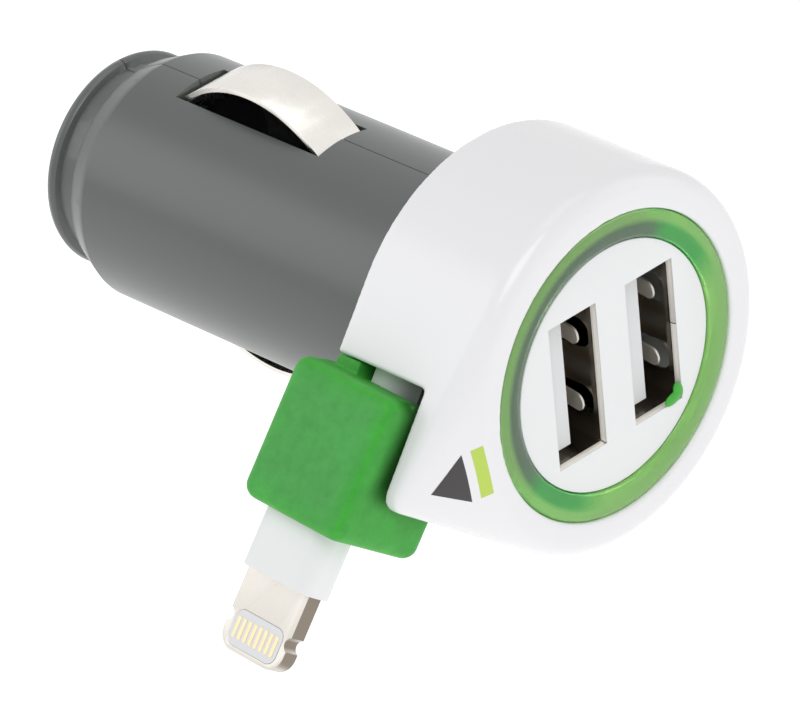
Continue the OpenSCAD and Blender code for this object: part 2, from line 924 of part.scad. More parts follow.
// Eight contact pads on each face of the insert
pad_pitch = (insert_w - 1) / 7;
module pad_blocks(depth) {
    face = tongue_t / 2 + 0.02;
    for (side = [-1, 1])
        for (i = [-3.5 : 1 : 3.5])
            block([plug_x + (side > 0 ? face - depth : -face - 0.03), plug_y + i * pad_pitch - 0.16, -insert_z - 0.85],
                  [plug_x + (side > 0 ? face + 0.03 : -face + depth), plug_y + i * pad_pitch + 0.16, -insert_z + 0.85]);
}
module plug_pads() {
    color("gold")
        pull_frame() lean()
            pad_blocks(0.1);
}

// Small board inside the plug's body
module plug_board() {
    side_room = 0.2;
    half_w = pocket_half_w - side_room;
    half_t = pocket_half_t - 3 * side_room;
    color("darkgreen")
        pull_frame() lean()
            block([plug_x - half_t, plug_y - half_w, -tongue_root + fit_gap],
                  [plug_x + half_t, plug_y + half_w, -pocket_top - side_room]);
}

head_front();
head_back();
port_housing();
light_ring();
light_board();
ring_leds();
port_shell_left();
port_shell_right();
port_tongue_left();
port_tongue_right();
port_contacts_left();
port_contacts_right();
port_board();
power_board();
inductor();
smoothing_capacitor();
converter_chip();
tip_terminal();
barrel_left();
barrel_right();
tip_contact();
tip_spring();
ground_spring_top();
ground_spring_bottom();
cable_reel();
mainspring();
wound_cable();
cable_lead();
plug_grip();
plug_body();
plug_tongue();
plug_insert();
plug_pads();
plug_board();
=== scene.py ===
"""Dresses the car charger: rounded edges, finishes, the printed mark, lamps, floor and camera."""

import json
from math import atan2, copysign, cos, radians, sin

import bmesh
import bpy
from mathutils import Matrix, Vector
from mathutils.bvhtree import BVHTree


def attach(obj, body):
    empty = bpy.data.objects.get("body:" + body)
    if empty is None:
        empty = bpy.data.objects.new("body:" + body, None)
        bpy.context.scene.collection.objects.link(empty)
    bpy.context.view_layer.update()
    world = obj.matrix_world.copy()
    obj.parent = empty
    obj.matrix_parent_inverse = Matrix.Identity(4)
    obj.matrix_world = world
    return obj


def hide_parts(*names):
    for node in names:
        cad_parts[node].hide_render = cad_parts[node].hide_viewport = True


MM = 0.001

# Camera: where it stands, where it looks and its lens
CAMERA_PLACE = Vector((-0.413985, -0.443305, 0.356942))
CAMERA_AZIMUTH = -42.34
CAMERA_ELEVATION = 30.73
CAMERA_ROLL = -5.54
CAMERA_LENS_MM = 407.42
SENSOR_MM = 36

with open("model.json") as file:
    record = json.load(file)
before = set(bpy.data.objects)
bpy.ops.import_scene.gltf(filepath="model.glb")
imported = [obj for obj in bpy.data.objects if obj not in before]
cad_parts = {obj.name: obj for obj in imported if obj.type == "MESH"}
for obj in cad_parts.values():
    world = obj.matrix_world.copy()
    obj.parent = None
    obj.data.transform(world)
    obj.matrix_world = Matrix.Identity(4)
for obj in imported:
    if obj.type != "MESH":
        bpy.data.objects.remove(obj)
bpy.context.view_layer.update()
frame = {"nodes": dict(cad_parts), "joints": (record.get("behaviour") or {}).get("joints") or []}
nodes = frame["nodes"]

# The pull frame is turned about the barrel axis, so that its z runs against the way the plug pulls
pull_way = {joint["name"]: joint["axis"] for joint in frame["joints"]}["plug_pull"]
PULL_TURN = Matrix.Rotation(atan2(-pull_way[0], -pull_way[2]), 3, "Y")

# In the pull frame the plug leans about a pivot, in degrees and millimetres
PLUG_LEAN = 3
LEAN_PIVOT = Vector((0, -3.25, -10.5))
LEAN_TURN = Matrix.Rotation(radians(PLUG_LEAN), 3, "X")


# Shader building


def feed(tree, value, socket):
    """Links a socket to an input, or writes a plain value there."""
    if isinstance(value, bpy.types.NodeSocket):
        tree.links.new(value, socket)
    else:
        socket.default_value = value


def start_group(name, inputs, outputs):
    """A shader node group with its input and output nodes."""
    group = bpy.data.node_groups.new(name, "ShaderNodeTree")
    for label, kind, value in inputs:
        socket = group.interface.new_socket(name=label, in_out="INPUT", socket_type=kind)
        socket.default_value = value
    for label, kind in outputs:
        group.interface.new_socket(name=label, in_out="OUTPUT", socket_type=kind)
    return group, group.nodes.new("NodeGroupInput"), group.nodes.new("NodeGroupOutput")


def math_node(tree, operation, first, second=None, clamp=False):
    """A Math node; each operand is a socket or a number."""
    node = tree.nodes.new("ShaderNodeMath")
    node.operation = operation
    node.use_clamp = clamp
    feed(tree, first, node.inputs[0])
    if second is not None:
        feed(tree, second, node.inputs[1])
    return node.outputs[0]


def vector_node(tree, operation, first, second=None):
    """A Vector Math node; the first operand is a socket, the second a socket or three numbers."""
    node = tree.nodes.new("ShaderNodeVectorMath")
    node.operation = operation
    feed(tree, first, node.inputs[0])
    if second is not None:
        feed(tree, second, node.inputs[1])
    return node.outputs["Value" if operation in ("LENGTH", "DOT_PRODUCT") else "Vector"]


def object_point(tree):
    """The point on the object, in metres."""
    return tree.nodes.new("ShaderNodeTexCoord").outputs["Object"]


def object_normal(tree):
    """The normal at the point, in the object's own axes."""
    return tree.nodes.new("ShaderNodeTexCoord").outputs["Normal"]


def scaled_point(tree, scale):
    """The point on the object, in metres times a scale."""
    mapping = tree.nodes.new("ShaderNodeMapping")
    mapping.inputs["Scale"].default_value = (scale, scale, scale)
    tree.links.new(object_point(tree), mapping.inputs["Vector"])
    return mapping.outputs["Vector"]


def noise(tree, vector, detail, roughness=0.5):
    """Cloudy noise from 0 to 1 at a scaled point."""
    node = tree.nodes.new("ShaderNodeTexNoise")
    node.inputs["Scale"].default_value = 1.0
    node.inputs["Detail"].default_value = detail
    node.inputs["Roughness"].default_value = roughness
    tree.links.new(vector, node.inputs["Vector"])
    return node.outputs["Fac"]


def carried(tree, value, start=0.0, end=1.0, low=0.0, high=1.0, step="LINEAR"):
    """A value that runs from start to end, carried to low..high."""
    node = tree.nodes.new("ShaderNodeMapRange")
    node.interpolation_type = step
    for label, limit in (("From Min", start), ("From Max", end), ("To Min", low), ("To Max", high)):
        node.inputs[label].default_value = limit
    tree.links.new(value, node.inputs["Value"])
    return node.outputs["Result"]


def eased(tree, value, start, end, low=0.0, high=1.0):
    """A value that runs from start to end, carried to low..high in a soft step."""
    return carried(tree, value, start, end, low, high, step="SMOOTHSTEP")


def mixed(tree, share, first, second):
    """Two colours mixed; each is a socket or three numbers."""
    mix = tree.nodes.new("ShaderNodeMix")
    mix.data_type = "RGBA"
    tree.links.new(share, mix.inputs["Factor"])
    for label, colour in (("A", first), ("B", second)):
        is_socket = isinstance(colour, bpy.types.NodeSocket)
        feed(tree, colour if is_socket else (*colour, 1), mix.inputs[label])
    return mix.outputs["Result"]


def shaded(tree, colour, tone):
    """A colour made lighter or darker by a tone near 1."""
    scale = tree.nodes.new("ShaderNodeVectorMath")
    scale.operation = "SCALE"
    feed(tree, colour, scale.inputs[0])
    tree.links.new(tone, scale.inputs["Scale"])
    return scale.outputs[0]


def tone_around_one(group, mask, strength):
    """A mask from 0 to 1 turned into a tone that swings around 1."""
    centred = math_node(group, "SUBTRACT", mask, 0.5)
    return math_node(group, "ADD", math_node(group, "MULTIPLY", centred, strength), 1.0)


def along_axis(tree, normal, axis):
    """How nearly a normal lies along an axis, from 0 to 1."""
    return math_node(tree, "ABSOLUTE", vector_node(tree, "DOT_PRODUCT", normal, axis))


def bumped(tree, height, strength, depth_mm):
    """Normals that follow a height, for relief of a depth in millimetres."""
    bump = tree.nodes.new("ShaderNodeBump")
    bump.inputs["Strength"].default_value = strength
    bump.inputs["Distance"].default_value = depth_mm * MM
    tree.links.new(height, bump.inputs["Height"])
    return bump.outputs["Normal"]


def moulding_group():
    """Slow tone changes, fine grain and rubbed patches of a moulded surface."""
    group, start, end = start_group(
        "moulding",
        [("Tone", "NodeSocketFloat", 0.03), ("Grain", "NodeSocketFloat", 0.2)],
        [("Tone", "NodeSocketFloat"), ("Height", "NodeSocketFloat"), ("Rub", "NodeSocketFloat")],
    )
    slow = noise(group, scaled_point(group, scale=90), detail=2.0)
    fine = noise(group, scaled_point(group, scale=9000), detail=2.0, roughness=0.6)
    rub = noise(group, scaled_point(group, scale=300), detail=5.0, roughness=0.6)
    group.links.new(tone_around_one(group, slow, start.outputs["Tone"]), end.inputs["Tone"])
    group.links.new(math_node(group, "MULTIPLY", fine, start.outputs["Grain"]), end.inputs["Height"])
    group.links.new(rub, end.inputs["Rub"])
    return group


def drawn_metal_group():
    """Fine lines that drawing or rolling leaves on metal, and its slow stains."""
    group, start, end = start_group(
        "drawn_metal",
        [("Across", "NodeSocketVector", (6000, 300, 6000)), ("Stain", "NodeSocketFloat", 0.15)],
        [("Tone", "NodeSocketFloat"), ("Height", "NodeSocketFloat")],
    )
    stretched = vector_node(group, "MULTIPLY", object_point(group), start.outputs["Across"])
    lines = noise(group, stretched, detail=3.0, roughness=0.7)
    stains = noise(group, scaled_point(group, scale=350), detail=4.0, roughness=0.6)
    group.links.new(tone_around_one(group, stains, start.outputs["Stain"]), end.inputs["Tone"])
    group.links.new(lines, end.inputs["Height"])
    return group


GROUPS = {"moulding": moulding_group(), "drawn_metal": drawn_metal_group()}


def place_group(tree, name, **values):
    """A group placed in a material with the material's own values."""
    node = tree.nodes.new("ShaderNodeGroup")
    node.node_tree = GROUPS[name]
    for label, value in values.items():
        node.inputs[label].default_value = value
    return node


def new_material(name, **sockets):
    """A material with its tree and its shader, whose sockets get plain values."""
    material = bpy.data.materials.new(name)
    material.use_nodes = True
    shader = material.node_tree.nodes["Principled BSDF"]
    for label, value in sockets.items():
        shader.inputs[label.replace("_", " ")].default_value = value
    return material, material.node_tree, shader


def surface_links(tree, shader, colour, rough, normal):
    """Links a material's colour, roughness and normal."""
    for label, output in (("Base Color", colour), ("Roughness", rough), ("Normal", normal)):
        tree.links.new(output, shader.inputs[label])


# How strongly the grain of a moulding and the lines of drawn metal turn the light
MOULDED_RELIEF = 0.4
DRAWN_RELIEF = 0.25


def plastic(name, colour, rough, grain=0.2, tone=0.03, depth=0.02, **sockets):
    """Moulded plastic: roughness spread, fine grain and slow tone changes."""
    material, tree, shader = new_material(name, **sockets)
    surface = place_group(tree, "moulding", Tone=tone, Grain=grain)
    base = shaded(tree, colour, surface.outputs["Tone"])
    roughness = carried(tree, surface.outputs["Rub"], low=rough[0], high=rough[1])
    grain_normal = bumped(tree, surface.outputs["Height"], MOULDED_RELIEF, depth)
    surface_links(tree, shader, base, roughness, grain_normal)
    return material


def metal(name, colour, rough, across=(6000, 300, 6000), stain=0.15, depth=0.003, metallic=1.0):
    """Plated or bare metal with fine lines along one way."""
    material, tree, shader = new_material(name, Metallic=metallic)
    surface = place_group(tree, "drawn_metal", Across=across, Stain=stain)
    base = shaded(tree, colour, surface.outputs["Tone"])
    roughness = carried(tree, surface.outputs["Height"], low=rough[0], high=rough[1])
    line_normal = bumped(tree, surface.outputs["Height"], DRAWN_RELIEF, depth)
    surface_links(tree, shader, base, roughness, line_normal)
    return material


def recoloured(material, change):
    """Puts a change, a function of tree and colour, between a material's colour and its shader."""
    tree = material.node_tree
    base = tree.nodes["Principled BSDF"].inputs["Base Color"]
    tree.links.new(change(tree, base.links[0].from_socket), base)
    return material


# Colours

WHITE_GLOSS = (0.88, 0.88, 0.895)
WHITE_SATIN = (0.86, 0.875, 0.88)
BARREL_GREY = (0.080, 0.090, 0.084)
RUBBER_GREEN = (0.060, 0.345, 0.066)
# Painted highlight on the grip's rounded rims
RUBBER_RIM_HIGHLIGHT = (0.042, 0.385, 0.030)
# Light ring: lime plastic; the deep green and the grey-green are painted shade on its inner part
RING_LIME = (0.50, 0.96, 0.28)
RING_DEEP = (0.09, 0.66, 0.14)
RING_SHADE = (0.20, 0.33, 0.21)
NICKEL = (0.80, 0.77, 0.73)
TONGUE_NICKEL = (0.66, 0.63, 0.58)
# Painted shade on the narrow sides of the plug's tongue
TONGUE_SIDE_SHADE = (0.26, 0.22, 0.18)
PORT_TONGUE_WHITE = (0.78, 0.79, 0.80)
# Port shell sheet: darkened on the wall as painted shade, lightened on the spring fingers and lips as
# painted highlight
SHELL_SHADED_STEEL = (0.29, 0.26, 0.22)
FINGER_HIGHLIGHT_STEEL = (0.86, 0.83, 0.78)
LIP_HIGHLIGHT_STEEL = (0.98, 0.95, 0.89)
SPRING_STEEL = (0.45, 0.45, 0.46)
BRASS = (0.66, 0.5, 0.24)
LACQUER_GREEN = (0.045, 0.42, 0.03)
CABLE_GREY = (0.56, 0.60, 0.58)
INSERT_GREY = (0.78, 0.79, 0.81)
PAD_GOLD = (0.72, 0.57, 0.35)
BOARD_GREEN = (0.02, 0.14, 0.06)
BOARD_WHITE = (0.84, 0.85, 0.84)
PART_BLACK = (0.02, 0.02, 0.022)
SLEEVE_BLUE = (0.03, 0.04, 0.07)
PRINT_GREY = (0.045, 0.04, 0.042)
PRINT_LIME = (0.52, 0.70, 0.10)

# Light ring

# Radii, in metres, between which its inner part begins, and the way to the side of its painted shade
RING_INNER = (0.01205, 0.01145)
RING_SHADE_WAY = (-0.707, 0, 0.707)
# Colours painted on the inner part as light and shade, from the side in light to the side in shade
RING_STOPS = (
    (0.0, RING_LIME),
    (0.22, RING_LIME),
    (0.36, RING_DEEP),
    (0.60, RING_DEEP),
    (0.66, RING_SHADE),
    (1.0, RING_SHADE),
)
RING_LOOK = {"rough": (0.03, 0.08), "grain": 0.03, "tone": 0.12, "depth": 0.01}
RING_GLASS = {"Transmission_Weight": 0.68, "IOR": 1.49}


def colour_ramp(tree, share, stops):
    """A colour taken from stops along a share from 0 to 1."""
    ramp = tree.nodes.new("ShaderNodeValToRGB")
    elements = ramp.color_ramp.elements
    while len(elements) < len(stops):
        elements.new(0.5)
    for element, (stop, colour) in zip(elements, stops):
        element.position = stop
        element.color = (*colour, 1)
    tree.links.new(share, ramp.inputs["Fac"])
    return ramp.outputs["Color"]


def clear_green():
    """Clear green plastic of the light ring: lime outside, and inside a painted shade that deepens towards
    one side.
    """

    def inner_shade(tree, _):
        flat = vector_node(tree, "MULTIPLY", object_point(tree), (1, 0, 1))
        inner = eased(tree, vector_node(tree, "LENGTH", flat), *RING_INNER)
        way = vector_node(tree, "DOT_PRODUCT", vector_node(tree, "NORMALIZE", flat), RING_SHADE_WAY)
        return mixed(tree, inner, RING_LIME, colour_ramp(tree, carried(tree, way, start=-1), RING_STOPS))

    return recoloured(plastic("ring_clear_green", RING_LIME, **RING_LOOK, **RING_GLASS), inner_shade)


# Cable and the plug's tongue

CABLE_LOOK = {"rough": (0.45, 0.6), "grain": 0.4, "tone": 0.06}
# Places along the barrel axis, in metres, where the cable's painted shade is full and where it ends, and
# its tones
CABLE_SHADE_PLACE = (-0.0078, -0.0035)
CABLE_SHADE_TONE = (0.12, 1.15)
TONGUE_LOOK = {"rough": (0.40, 0.52), "across": (4000, 4000, 500), "stain": 0.1}
# How nearly a normal faces sideways where the painted side shade begins and where it is full
TONGUE_SIDE = (0.55, 0.95)


def shaded_cable():
    """Grey cable with painted shade that deepens inside the notch."""

    def notch_shade(tree, colour):
        place = tree.nodes.new("ShaderNodeSeparateXYZ")
        tree.links.new(object_point(tree), place.inputs[0])
        return shaded(tree, colour, eased(tree, place.outputs["Y"], *CABLE_SHADE_PLACE, *CABLE_SHADE_TONE))

    return recoloured(plastic("cable_shaded", CABLE_GREY, **CABLE_LOOK), notch_shade)


def side_shaded_nickel():
    """Nickel plate, with painted shade on its narrow sides that stands in for a darker reflection there.
    """

    def painted_side_shade(tree, colour):
        side = eased(tree, along_axis(tree, object_normal(tree), (0, 1, 0)), *TONGUE_SIDE)
        return mixed(tree, side, colour, TONGUE_SIDE_SHADE)

    return recoloured(metal("tongue_nickel", TONGUE_NICKEL, **TONGUE_LOOK), painted_side_shade)


# Grip

# The block in the plug's leaned frame, in millimetres: middle, and half size along the barrel and the pull
GRIP_MIDDLE = Vector((-13.4, -3.65, -13.3))
GRIP_HALF = (5.45, 5.9)
# How flat the rubber is where the rims' painted highlight begins and where it is full
RUBBER_HIGHLIGHT_FLAT = (0.97, 0.76)
# How far out on a face, with a cloud added, the painted rim highlight spreads in from the border: where it
# begins and is full, and its full share
BORDER_OUT = (0.85, 1.3)
BORDER_CLOUD = 0.5
BORDER_SHARE = 0.6
RUBBER_MOTTLE = (0.70, 1.30)
RUBBER_ROUGH = (0.45, 0.62)
RUBBER_GRAIN_DEPTH = 0.03
RUBBER_BODY = {
    "Specular_IOR_Level": 0.36,
    "Subsurface_Weight": 0.15,
    "Subsurface_Radius": (0.0004, 0.001, 0.0004),
}
# Shade beside the head's corner: where it begins and is full, in metres along the pull frame's axes
SHADE_ACROSS = (-0.0176, -0.0156)
SHADE_FRONT = (-0.0076, -0.0087)
SHADE_ALONG = (-0.0168, -0.0140)
PLATE_SHADE = 0.3


def grip_middle():
    """Middle of the grip block in the row frame, in metres."""
    leaned = LEAN_TURN @ (GRIP_MIDDLE - LEAN_PIVOT) + LEAN_PIVOT
    return PULL_TURN @ leaned * MM


def border_highlight(tree, turn):
    """How far a point of the grip lies out towards the borders of its face, with a cloud added, as a share
    of painted rim highlight.
    """
    place = object_point(tree)
    shares = []
    for way, half in zip((turn.col[1], turn.col[2]), GRIP_HALF):
        along = vector_node(tree, "DOT_PRODUCT", place, way)
        off = math_node(tree, "SUBTRACT", along, grip_middle().dot(way))
        shares.append(math_node(tree, "DIVIDE", math_node(tree, "ABSOLUTE", off), half * MM))
    cloud = noise(tree, scaled_point(tree, scale=420), detail=3.0)
    cloud_out = math_node(tree, "MULTIPLY", cloud, BORDER_CLOUD)
    out = math_node(tree, "ADD", math_node(tree, "MAXIMUM", *shares), cloud_out)
    return eased(tree, out, *BORDER_OUT, high=BORDER_SHARE)


def plate_shade(tree):
    """Shade on the grip's front beside the head's corner plate, as a tone."""
    place = object_point(tree)
    limits = (SHADE_ACROSS, SHADE_FRONT, SHADE_ALONG)
    near = []
    for way, limit in zip(PULL_TURN.col, limits):
        near.append(eased(tree, vector_node(tree, "DOT_PRODUCT", place, way), *limit))
    dark = math_node(tree, "MULTIPLY", math_node(tree, "MULTIPLY", near[0], near[1]), near[2])
    return carried(tree, dark, low=1.0, high=PLATE_SHADE)


def flatness(tree, turn):
    """How squarely a point faces one of the block's six sides, from 0 to 1."""
    normal = object_normal(tree)
    flat = along_axis(tree, normal, turn.col[0])
    for way in (turn.col[1], turn.col[2]):
        flat = math_node(tree, "MAXIMUM", flat, along_axis(tree, normal, way))
    return flat


def rubber_with_painted_light():
    """Mottled green rubber, with painted highlight on its rounded rims and towards the borders of its
    faces, and painted shade beside the head.
    """
    material, tree, shader = new_material("rubber_green", **RUBBER_BODY)
    surface = place_group(tree, "moulding", Tone=0.36, Grain=0.6)
    turn = PULL_TURN @ LEAN_TURN
    rim_highlight = eased(tree, flatness(tree, turn), *RUBBER_HIGHLIGHT_FLAT)
    highlight = math_node(tree, "MAXIMUM", rim_highlight, border_highlight(tree, turn))
    green = mixed(tree, highlight, RUBBER_GREEN, RUBBER_RIM_HIGHLIGHT)
    cloud = noise(tree, scaled_point(tree, scale=800), detail=5.0, roughness=0.7)
    mottle = carried(tree, cloud, low=RUBBER_MOTTLE[0], high=RUBBER_MOTTLE[1])
    tone = math_node(tree, "MULTIPLY", surface.outputs["Tone"], mottle)
    tone = math_node(tree, "MULTIPLY", tone, plate_shade(tree))
    rough = carried(tree, surface.outputs["Rub"], low=RUBBER_ROUGH[0], high=RUBBER_ROUGH[1])
    grain = bumped(tree, surface.outputs["Height"], MOULDED_RELIEF, RUBBER_GRAIN_DEPTH)
    surface_links(tree, shader, shaded(tree, green, tone), rough, grain)
    return material


# Plain finishes, one row for each

BARREL_LOOK = {"rough": (0.34, 0.40), "grain": 0.3, "tone": 0.08}
BARREL_COAT = {"Specular_IOR_Level": 0.55, "Coat_Weight": 0.35, "Coat_Roughness": 0.22}

PLASTICS = {
    "head_white": {"colour": WHITE_GLOSS, "rough": (0.16, 0.26), "grain": 0.12, "tone": 0.02},
    "inner_white": {"colour": WHITE_SATIN, "rough": (0.32, 0.45), "grain": 0.2, "tone": 0.03},
    "barrel_grey": {"colour": BARREL_GREY, **BARREL_LOOK, **BARREL_COAT},
    "cable_grey": {"colour": CABLE_GREY, **CABLE_LOOK},
    "insert_grey": {"colour": INSERT_GREY, "rough": (0.35, 0.5), "grain": 0.2, "tone": 0.05},
    "board_green": {"colour": BOARD_GREEN, "rough": (0.3, 0.4), "grain": 0.5, "tone": 0.3},
    "board_white": {"colour": BOARD_WHITE, "rough": (0.3, 0.4), "grain": 0.4, "tone": 0.06},
    "black_part": {"colour": PART_BLACK, "rough": (0.35, 0.5), "grain": 0.5, "tone": 0.1},
    "sleeve_dark": {"colour": SLEEVE_BLUE, "rough": (0.2, 0.3), "grain": 0.1, "tone": 0.1},
    "print_grey": {"colour": PRINT_GREY, "rough": (0.3, 0.4), "grain": 0.3, "tone": 0.1},
    "print_lime": {"colour": PRINT_LIME, "rough": (0.3, 0.4), "grain": 0.3, "tone": 0.06},
    "tongue_white": {"colour": PORT_TONGUE_WHITE, "rough": (0.32, 0.45), "grain": 0.2, "tone": 0.03},
    "lacquer_green": {"colour": LACQUER_GREEN, "rough": (0.25, 0.35), "grain": 0.2, "tone": 0.2},
}

# How finely the lines of the ports' sheet repeat along x, y and z
PORT_LINES = (600, 600, 5000)
# Share of metal in a finish that takes the light of the room
DULL_METALLIC = 0.4

METALS = {
    "nickel": {"colour": NICKEL, "rough": (0.22, 0.34), "across": (2500, 200, 2500), "depth": 0.0012},
    # The ports' sheet: painted shade on the wall, painted highlight on the spring fingers
    "shell_steel": {"colour": SHELL_SHADED_STEEL, "rough": (0.16, 0.28), "across": PORT_LINES},
    "finger_painted_highlight": {"colour": FINGER_HIGHLIGHT_STEEL, "rough": (0.5, 0.62), "across": PORT_LINES, "stain": 0.08},
    "spring_steel": {"colour": SPRING_STEEL, "rough": (0.25, 0.4)},
    "pad_gold": {"colour": PAD_GOLD, "rough": (0.3, 0.42), "stain": 0.1},
    "brass": {"colour": BRASS, "rough": (0.2, 0.35)},
}


def painted_lip_highlight():
    """Painted highlight on the rolled lips: pale metal, dull enough to take the light of the room."""
    return metal("lip_painted_highlight", LIP_HIGHLIGHT_STEEL, (0.42, 0.55), PORT_LINES, stain=0.12, metallic=DULL_METALLIC)


MATERIALS = {name: plastic(name, **look) for name, look in PLASTICS.items()}
MATERIALS.update({name: metal(name, **look) for name, look in METALS.items()})
MATERIALS["rubber_green"] = rubber_with_painted_light()
MATERIALS["ring_green"] = clear_green()
MATERIALS["tongue_nickel"] = side_shaded_nickel()
MATERIALS["cable_shaded"] = shaded_cable()
MATERIALS["lip_painted_highlight"] = painted_lip_highlight()

FINISH = {
    "head_front": "head_white",
    "head_back": "head_white",
    "port_housing": "inner_white",
    "light_ring": "ring_green",
    "light_board": "board_white",
    "ring_leds": "inner_white",
    "port_shell_left": "shell_steel",
    "port_shell_right": "shell_steel",
    "port_tongue_left": "tongue_white",
    "port_tongue_right": "tongue_white",
    "port_contacts_left": "pad_gold",
    "port_contacts_right": "pad_gold",
    "port_board": "board_green",
    "power_board": "board_green",
    "inductor": "black_part",
    "smoothing_capacitor": "sleeve_dark",
    "converter_chip": "black_part",
    "tip_terminal": "brass",
    "barrel_left": "barrel_grey",
    "barrel_right": "barrel_grey",
    "tip_contact": "nickel",
    "tip_spring": "spring_steel",
    "ground_spring_top": "nickel",
    "ground_spring_bottom": "nickel",
    "cable_reel": "cable_grey",
    "mainspring": "spring_steel",
    "wound_cable": "cable_grey",
    "cable_lead": "cable_shaded",
    "plug_grip": "rubber_green",
    "plug_body": "inner_white",
    "plug_tongue": "tongue_nickel",
    "plug_insert": "insert_grey",
    "plug_pads": "pad_gold",
    "plug_board": "board_green",
}


def dress_nodes():
    """Each node that the frame carries over gets its finish."""
    for name, finish in FINISH.items():
        mesh = nodes[name].data
        mesh.materials.clear()
        mesh.materials.append(MATERIALS[finish])


# Forms

# How close two corners are merged, in millimetres
MERGE_DIST = 0.002
# Angles between faces, in degrees, that count as flat and as sharp
FLAT_ANGLE = 0.3
SHARP_ANGLE = 32


def add_object(name, data):
    """A new object in the scene."""
    made = bpy.data.objects.new(name, data)
    bpy.context.scene.collection.objects.link(made)
    return made


def node_limits(node, axis):
    """Least and greatest place of a node along an axis, in millimetres."""
    places = [vert.co[axis] / MM for vert in nodes[node].data.vertices]
    return min(places), max(places)


def copied_node(node, ending):
    """A copy of a node, under its name with an ending."""
    return add_object(node + ending, nodes[node].data.copy())


def merged_form(mesh):
    """A mesh opened for editing, with corners that lie on each other merged."""
    form = bmesh.new()
    form.from_mesh(mesh)
    bmesh.ops.remove_doubles(form, verts=form.verts, dist=MERGE_DIST * MM)
    return form


def close_form(form, mesh):
    """Writes an edited form into a mesh."""
    form.to_mesh(mesh)
    form.free()


def smooth_faces(form):
    """Smooth shading on every face."""
    for face in form.faces:
        face.smooth = True


def melt_edges(piece, grid_mm, passes):
    """Puts a fine grid over a form and smooths it, so that its edges turn round."""
    remesh = piece.modifiers.new("grid", "REMESH")
    remesh.mode = "VOXEL"
    remesh.voxel_size = grid_mm * MM
    remesh.use_smooth_shade = True
    smooth = piece.modifiers.new("edges", "SMOOTH")
    smooth.factor = 0.5
    smooth.iterations = passes


def apply_modifiers(piece):
    """Puts the result of the piece's modifiers into its mesh."""
    bpy.context.view_layer.update()
    graph = bpy.context.evaluated_depsgraph_get()
    made = bpy.data.meshes.new_from_object(piece.evaluated_get(graph))
    piece.modifiers.clear()
    piece.data = made


# Rounded edges

# Width of the rounds in millimetres, and body
ROUNDED = {
    "port_housing": (0.08, "root"),
    "light_ring": (0.35, "root"),
    "ground_spring_top": (0.08, "top_spring"),
    "ground_spring_bottom": (0.08, "bottom_spring"),
    "plug_body": (0.15, "plug"),
    "plug_tongue": (0.08, "plug"),
    "port_tongue_left": (0.08, "root"),
    "port_tongue_right": (0.08, "root"),
}
ROUND_SEGMENTS = 3


def rounded_piece(node, width_mm, body):
    """A copy of a node with small rounds on its hard edges, in place of the node."""
    piece = copied_node(node, "_rounded")
    form = merged_form(piece.data)
    bmesh.ops.dissolve_limit(form, angle_limit=radians(FLAT_ANGLE), verts=form.verts, edges=form.edges)
    smooth_faces(form)
    close_form(form, piece.data)
    bevel = piece.modifiers.new("edge_rounds", "BEVEL")
    bevel.width = width_mm * MM
    bevel.segments = ROUND_SEGMENTS
    bevel.limit_method = "ANGLE"
    bevel.angle_limit = radians(SHARP_ANGLE)
    bevel.harden_normals = True
    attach(piece, body)
    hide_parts(node)
    return piece


# Barrel halves: as the rounded pieces, with the true normals of a cylinder on the long wall

BARREL_R = 10.4
BARREL_TAPER = 0.06
BARREL_SLOPE = 0.02
BARREL_ROUND = 0.15


def on_long_wall(face, corners):
    """Whether a face with these corners lies on the barrel's long round wall."""
    near = all(abs(Vector((co.x, co.z)).length / MM - BARREL_R) <= BARREL_TAPER for co in corners)
    return near and abs(face.normal.y) <= BARREL_SLOPE


def cylinder_normals(mesh):
    """Turns the normals of the faces on the barrel's long wall straight out from its axis."""
    normals = [loop.vector.copy() for loop in mesh.corner_normals]
    for face in mesh.polygons:
        corners = [mesh.vertices[mesh.loops[i].vertex_index].co for i in face.loop_indices]
        if on_long_wall(face, corners):
            for place, co in zip(face.loop_indices, corners):
                normals[place] = Vector((co.x, 0, co.z)).normalized()
    mesh.normals_split_custom_set(normals)


def barrel_half(node):
    """One half of the barrel, rounded, with a smooth wall."""
    piece = rounded_piece(node, BARREL_ROUND, "root")
    apply_modifiers(piece)
    cylinder_normals(piece.data)


# Port shells: lips rolled outwards at the mouth, the seam of the folded sheet, and matt spring fingers

# The wall is darkened as painted shade, the lips and spring fingers lightened as painted highlight
PORT_SHELLS = ("port_shell_left", "port_shell_right")
SHELL_COATS = ("shell_steel", "finger_painted_highlight", "lip_painted_highlight", "black_part")
SHELL_Y = node_limits("port_shell_left", 1)[0]
SHELL_HALF_W = 2.5
SHELL_HALF_H = 6.19
# Flare of the lips as the node has them, which the roll replaces
LIP_LEN = 0.9
LIP_FLARE = 0.1
ROLL_LEN = 0.75
ROLL_OUT = 0.2
ROLL_CUTS = 6
# Depth from the mouth within which the lips get their painted highlight
BRIGHT_LEN = 0.55
SEAM_X = 2.4
SEAM_Z = 0.3
SEAM_HALF = 0.045
SEAM_DEEP = 0.1
# Slack within which a corner counts as on a wall, on the seam and on the sheet's inner side
SHELL_TOUCH = 0.005
SEAM_TOUCH = 0.001
INNER_SHEET = 0.05
FINGER_X = 1.0
FINGER_Z = 3.0
FINGER_HALF_W = 0.78
FINGER_START = 1.1
FINGER_END = 6.5


def mark_sharp(form):
    """Smooth shading that breaks where two faces meet at more than the sharp angle."""
    smooth_faces(form)
    for edge in form.edges:
        edge.smooth = len(edge.link_faces) == 2 and edge.calc_face_angle(0) < radians(SHARP_ANGLE)


